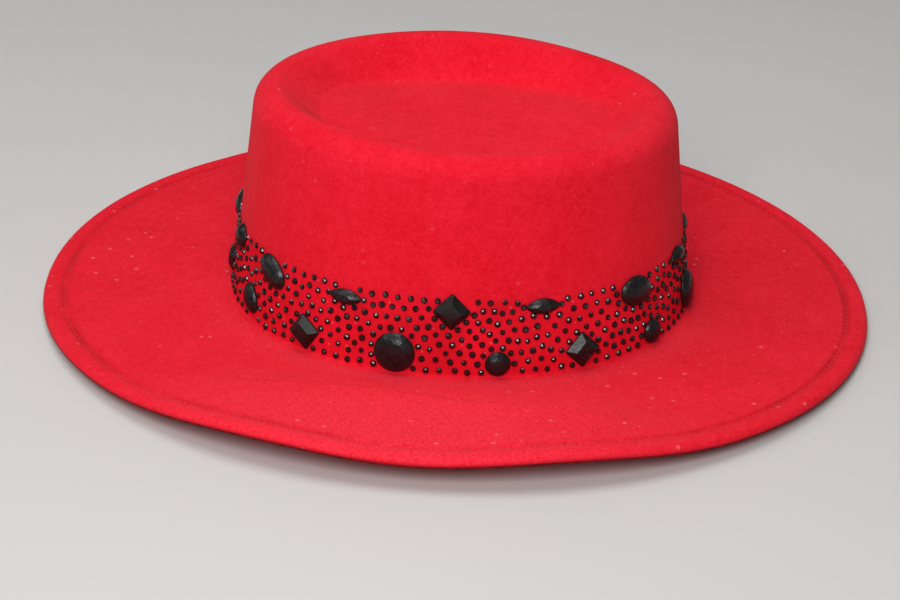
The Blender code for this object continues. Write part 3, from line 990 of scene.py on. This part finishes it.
def cut_stone(kind):
    width, height, depth = STONE_SIZES[kind]
    turn = math.sqrt(2) if kind == "square" else 1.0
    bm = bmesh.new()
    for outline, size, level in stone_tiers(kind):
        up = STONE_GIRDLE if level is None else depth * level
        for x, y in outline:
            bm.verts.new((x * size * width / 2 * turn, y * size * height / 2 * turn, up))
    bmesh.ops.convex_hull(bm, input=bm.verts)
    bmesh.ops.dissolve_limit(bm, angle_limit=math.radians(2), verts=bm.verts, edges=bm.edges)
    return bm


def make_stones(material):
    for row_name, number, distance, up, turn, kind in all_stones():
        bm = cut_stone(kind)
        seat = band_frame(distance, up) @ Matrix.Translation((0, 0, -0.0001))
        bmesh.ops.transform(bm, matrix=seat @ Matrix.Rotation(turn, 4, "Z"), verts=bm.verts)
        label = f"{row_name}_{number:02d}_{kind}"
        piece = add_piece(f"gem_{label}", bm, material, [f"stone_{label}"])
        worn = piece.modifiers.new("worn_edges", "BEVEL")
        worn.width = 0.00010
        worn.segments = 1
        worn.limit_method = "ANGLE"
        worn.angle_limit = math.radians(8)


# Studs --------------------------------

def stone_reach(kind, along, uphill):
    """How far a place is from a stone's outline, negative inside it."""
    width, height, _ = STONE_SIZES[kind]
    if kind == "square":
        return (abs(along) + abs(uphill)) / math.sqrt(2) - width / 2
    if kind == "marquise":
        if abs(along) >= width / 2:
            return math.hypot(abs(along) - width / 2, uphill)
        return abs(uphill) - height / 2 * (1 - (abs(along) / (width / 2)) ** 2)
    radius = math.hypot(along / width, uphill / height) * 2
    return (radius - 1) * min(width, height) / 2


def wrapped(distance):
    """The shorter way round the band, positive or negative."""
    return (distance + OVAL_LENGTH / 2) % OVAL_LENGTH - OVAL_LENGTH / 2


def stone_room(stones, distance, up):
    """The gap between a place on the band and the nearest stone's outline."""
    room = 1.0
    for stone_at, stone_up, turn, kind in stones:
        along, rise = wrapped(distance - stone_at), up - stone_up
        if abs(along) < 0.020:
            across = along * math.cos(turn) + rise * math.sin(turn)
            above = rise * math.cos(turn) - along * math.sin(turn)
            room = min(room, stone_reach(kind, across, above))
    return room


def stud_edge_rows(rng):
    """An even row of studs along each edge of the band."""
    places = []
    for row, phase in ((STUD_TOP_ROW, 0.3), (STUD_BOTTOM_ROW, 0.7)):
        count = round(OVAL_LENGTH / STUD_EDGE_PITCH)
        for i in range(count):
            distance = OVAL_LENGTH * (i + phase) / count + rng.uniform(-0.0004, 0.0004)
            places.append((distance, row + rng.uniform(-0.0005, 0.0005)))
    return places


def add_tip_studs(studs, stones):
    """One stud at each tip of every marquise, in place of any that stand too near."""
    for stone_at, stone_up, _, kind in stones:
        if kind == "marquise":
            reach = STONE_SIZES[kind][0] / 2 + STUD_RADIUS * 0.8
            studs = [spot for spot in studs if math.hypot(
                abs(wrapped(spot[0] - stone_at)) - reach, spot[1] - stone_up) > STUD_RADIUS * 2.2]
            studs += [(stone_at - reach, stone_up), (stone_at + reach, stone_up)]
    return studs


def push_apart(spot, cell, buckets, stride, low, high):
    """Move one stud a little away from the studs near it, and keep it between low and high."""
    push_along, push_up = 0.0, 0.0
    for near in (cell - 1, cell, cell + 1):
        for other in buckets[near % len(buckets)]:
            along, rise = wrapped(spot[0] - other[0]), spot[1] - other[1]
            gap = math.hypot(along, rise)
            if 1e-9 < gap < STUD_REACH:
                push = (STUD_REACH - gap) / gap
                push_along += along * push
                push_up += rise * push
    spot[0] += stride * push_along * 0.35
    spot[1] = min(max(spot[1] + stride * push_up * 0.35, low), high)


def step_off_stones(spot, stones):
    """Move one stud away from the nearest stone, where it is too near."""
    along, up = spot
    needed = STUD_RADIUS * 1.15
    room = stone_room(stones, along, up)
    if room >= needed:
        return
    step = 0.0002
    slope_along = stone_room(stones, along + step, up) - stone_room(stones, along - step, up)
    slope_up = stone_room(stones, along, up + step) - stone_room(stones, along, up - step)
    slope = max(math.hypot(slope_along, slope_up), 1e-9)
    spot[0] += slope_along / slope * (needed - room)
    spot[1] += slope_up / slope * (needed - room)


def stud_places():
    """Studs in even edge rows, and pushed apart to an even but irregular field between."""
    rng = random.Random(20)
    stones = [stone[2:] for stone in all_stones()]
    edges = [spot for spot in stud_edge_rows(rng) if stone_room(stones, *spot) > STUD_RADIUS * 0.9]
    fixed = add_tip_studs(edges, stones)
    low, high = STUD_BOTTOM_ROW + STUD_FIELD_INSET, STUD_TOP_ROW - STUD_FIELD_INSET
    free = []
    while len(free) < STUD_COUNT:
        spot = [rng.uniform(0, OVAL_LENGTH), rng.uniform(low, high)]
        if stone_room(stones, *spot) > STUD_RADIUS:
            free.append(spot)
    cells = int(OVAL_LENGTH / STUD_REACH)
    for turn in range(SETTLING_ROUNDS):
        buckets = [[] for _ in range(cells)]
        for spot in fixed + free:
            buckets[int(spot[0] % OVAL_LENGTH / OVAL_LENGTH * cells) % cells].append(spot)
        stride = 0.45 * (1 - turn / 80)
        for spot in free:
            cell = int(spot[0] % OVAL_LENGTH / OVAL_LENGTH * cells)
            push_apart(spot, cell, buckets, stride, low, high)
            step_off_stones(spot, stones)
    kept = list(fixed)
    for spot in free:
        apart = min(math.hypot(wrapped(spot[0] - other[0]), spot[1] - other[1]) for other in kept)
        clear = stone_room(stones, *spot) > STUD_RADIUS * 0.8
        if apart > STUD_RADIUS * 2.1 and clear and spot[1] > low - 0.001:
            kept.append(tuple(spot))
    return kept


def make_studs(material):
    rng = random.Random(7)
    bm = bmesh.new()
    for distance, up in stud_places():
        size = STUD_RADIUS * rng.uniform(0.86, 1.08)
        spin = rng.uniform(0, math.tau)
        seat = band_frame(distance, up) @ Matrix.Rotation(spin, 4, "Z")
        lean_x, lean_y = rng.uniform(-STUD_LEAN, STUD_LEAN), rng.uniform(-STUD_LEAN, STUD_LEAN)
        lean = Matrix.Rotation(lean_x, 4, "X") @ Matrix.Rotation(lean_y, 4, "Y")
        rings = []
        for radius, height in STUD_RINGS:
            spots = [Vector((radius * x, radius * y, height)) * size for x, y in regular(STUD_SIDES)]
            rings.append([bm.verts.new(seat @ lean @ spot) for spot in spots])
        skin_rings(bm, rings)
    add_piece("band_studs", bm, material)


# Inside the crown ---------------------

def sweatband_face(up):
    return wall_out(up) - FELT - 0.0004


def inside_spot(up, angle):
    """A place just proud of the sweatband's inner face."""
    return place(sweatband_face(up) - SWEATBAND_THICKNESS - 0.00002, up, angle)


def make_sweatband(material):
    """A leather strip, a little slack at its top edge, tucked in at its foot."""
    bm = bmesh.new()
    outer, inner = [], []
    for i in range(15):
        part = i / 14
        up = SWEATBAND_BOTTOM + (SWEATBAND_TOP - SWEATBAND_BOTTOM) * part
        tuck = 0.0004 * (1 - smooth_step(0.0, 0.12, part))
        out = sweatband_face(up) - tuck
        outer.append((out, up))
        inner.append((out - SWEATBAND_THICKNESS * (0.6 if i == 14 else 1.0), up))
    sweep_rows(bm, outer + inner[::-1])
    add_piece("leather_sweatband", bm, material, ["sweatband"], smooth_angle=50)


def make_sweatband_stitches(material):
    """Small slanting stitches through the sweatband, just above its reed, and up its seam."""
    bm = bmesh.new()
    parts = (-1.0, -0.5, 0.0, 0.5, 1.0)
    count = round(OVAL_LENGTH / SWEATBAND_STITCH_PITCH)
    for number in range(count):
        middle = math.tau * number / count
        half = math.pi / count * 0.72
        spots = [inside_spot(0.0040 + 0.0006 * part, middle + half * part) for part in parts]
        tube_along(bm, spots, lambda i: SWEATBAND_STITCH_RADIUS * (0.6 if i in (0, 4) else 1.0))
    for number in range(10):
        up = 0.0125 + number * 0.0019
        side = (0.0012 if number % 2 else -0.0012) / HEAD_HALF_LENGTH
        spots = [inside_spot(up + 0.00095 * part, math.pi / 2 + side * part) for part in parts]
        tube_along(bm, spots, lambda i: SWEATBAND_STITCH_RADIUS)
    add_piece("sweatband_stitches", bm, material, smooth_angle=60)


def make_reed(material):
    bm = bmesh.new()
    sweep_rows(bm, arc((-REED_DEPTH, REED_HEIGHT), (REED_RADIUS,) * 2, 0, 350, 15))
    add_piece("reed_cord", bm, material, ["sweatband_reed"], smooth_angle=60)


def ribbon_strip(bm, spots, width_at, across, thickness):
    """A strip of ribbon through spots, as wide as width_at says, with a real thickness."""
    sections = []
    for i, spot in enumerate(spots):
        ahead = (spots[min(i + 1, len(spots) - 1)] - spots[max(i - 1, 0)]).normalized()
        face = ahead.cross(across).normalized()
        half = width_at(i) / 2
        corners = ((-half, -0.5), (half, -0.5), (half, 0.5), (-half, 0.5))
        sections.append([
            bm.verts.new(spot + across * side + face * thickness * depth)
            for side, depth in corners])
    skin_rings(bm, sections)


def make_bow(material):
    """A flat ribbon bow: two pressed loops under a knot, where its CAD solid lies."""
    low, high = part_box("sweatband_bow")
    middle = (low + high) / 2
    half_width = (high.x - low.x) / 2
    height = high.z - low.z
    depth = high.y - low.y
    up = Vector((0, 0, 1))
    bm = bmesh.new()
    for side in (-1, 1):
        spots = []
        for k in range(17):
            turn = math.pi * (k / 16)
            reach = 0.0008 + (half_width - 0.0009) * math.sin(turn)
            spots.append(middle + Vector((side * reach, depth * 0.34 * math.cos(turn), 0)))
        ribbon_strip(
            bm, spots, lambda i: height * (0.52 + 0.48 * math.sin(math.pi * i / 16) ** 0.6), up,
            RIBBON_THICKNESS)
    spots = []
    for k in range(13):
        turn = math.tau * k / 12
        around = Vector((0, depth * 0.50 * math.cos(turn), height * 0.33 * math.sin(turn)))
        spots.append(middle + around)
    ribbon_strip(bm, spots, lambda i: KNOT_WIDTH, Vector((1, 0, 0)), KNOT_THICKNESS)
    add_piece("inside_bow", bm, material, ["sweatband_bow"], smooth_angle=45)


# Camera, light and floor --------------

def make_camera():
    azimuth, elevation = math.radians(CAMERA_AZIMUTH), math.radians(CAMERA_ELEVATION)
    back = Vector((
        math.sin(azimuth) * math.cos(elevation), -math.cos(azimuth) * math.cos(elevation),
        math.sin(elevation)))
    right = Vector((math.cos(azimuth), math.sin(azimuth), 0))
    upright = Matrix((right, back.cross(right), back)).transposed()
    turn = upright @ Matrix.Rotation(math.radians(CAMERA_ROLL), 3, "Z")
    data = bpy.data.cameras.new("camera")
    data.lens = CAMERA_LENS
    data.sensor_width = 36.0
    data.sensor_fit = "HORIZONTAL"
    data.clip_start = 0.05
    data.clip_end = 30.0
    camera = link_object("camera", data)
    camera.matrix_world = Matrix.Translation(CAMERA_AIM + back * CAMERA_DISTANCE) @ turn.to_4x4()
    bpy.context.scene.camera = camera


def add_area_light(name, location, size, power):
    """A round soft light that points at LIGHT_AIM."""
    data = bpy.data.lights.new(name, "AREA")
    data.shape = "DISK"
    data.size = size
    data.energy = power
    light = link_object(name, data)
    light.location = location
    light.rotation_mode = "QUATERNION"
    light.rotation_quaternion = (LIGHT_AIM - light.location).to_track_quat("-Z", "Y")


def make_floor():
    bm = bmesh.new()
    bmesh.ops.create_grid(bm, x_segments=2, y_segments=2, size=6.0)
    material, tree, shader = new_material("pale_floor", 0.8)
    tone = noise_field(tree, object_coordinates(tree), 3.0, detail=3.0, roughness=0.5)
    add_color(tree, shader, mix_colors(tree, tone, (0.60, 0.59, 0.575), (0.66, 0.65, 0.635)))
    link_object("studio_floor", finish_mesh("studio_floor", bm, material))


def make_studio():
    """The floor, a dim even world, the area lights and the plain colour view."""
    make_floor()
    world = bpy.data.worlds.new("studio")
    world.use_nodes = True
    sky = world.node_tree.nodes["Background"].inputs
    sky["Color"].default_value = (0.90, 0.88, 0.88, 1.0)
    sky["Strength"].default_value = 0.20
    bpy.context.scene.world = world
    bpy.context.scene.view_settings.view_transform = "Standard"
    for light in LIGHTS:
        add_area_light(*light)


def main():
    felt = felt_material()
    red_thread = thread_material("red_thread", (0.52, 0.005, 0.012), (0.80, 0.020, 0.034))
    black_thread = thread_material("black_thread", (0.008, 0.008, 0.008), (0.035, 0.035, 0.035))
    make_camera()
    make_studio()
    make_felt_body(felt)
    top = -SEAM_DEPTH + 0.00003
    under = -WELT_THICKNESS + BOBBIN_GROOVE_DEPTH - 0.00012
    make_stitches("edge_stitches_top", top, -STITCH_SINK, red_thread, "edge_needle_thread")
    make_stitches("edge_stitches_under", under, STITCH_SINK, red_thread, "edge_bobbin_thread")
    make_band(band_material())
    make_stones(stone_material("jet_glass", 0.30, 1.40, (0.0075, 0.0072, 0.0076)))
    make_studs(stone_material("hematite_glass", 0.10, 1.64, (0.0055, 0.0050, 0.0050)))
    make_sweatband(leather_material())
    make_sweatband_stitches(black_thread)
    make_reed(cord_material())
    make_bow(ribbon_material())
    make_brim_wire(wire_material())


main()
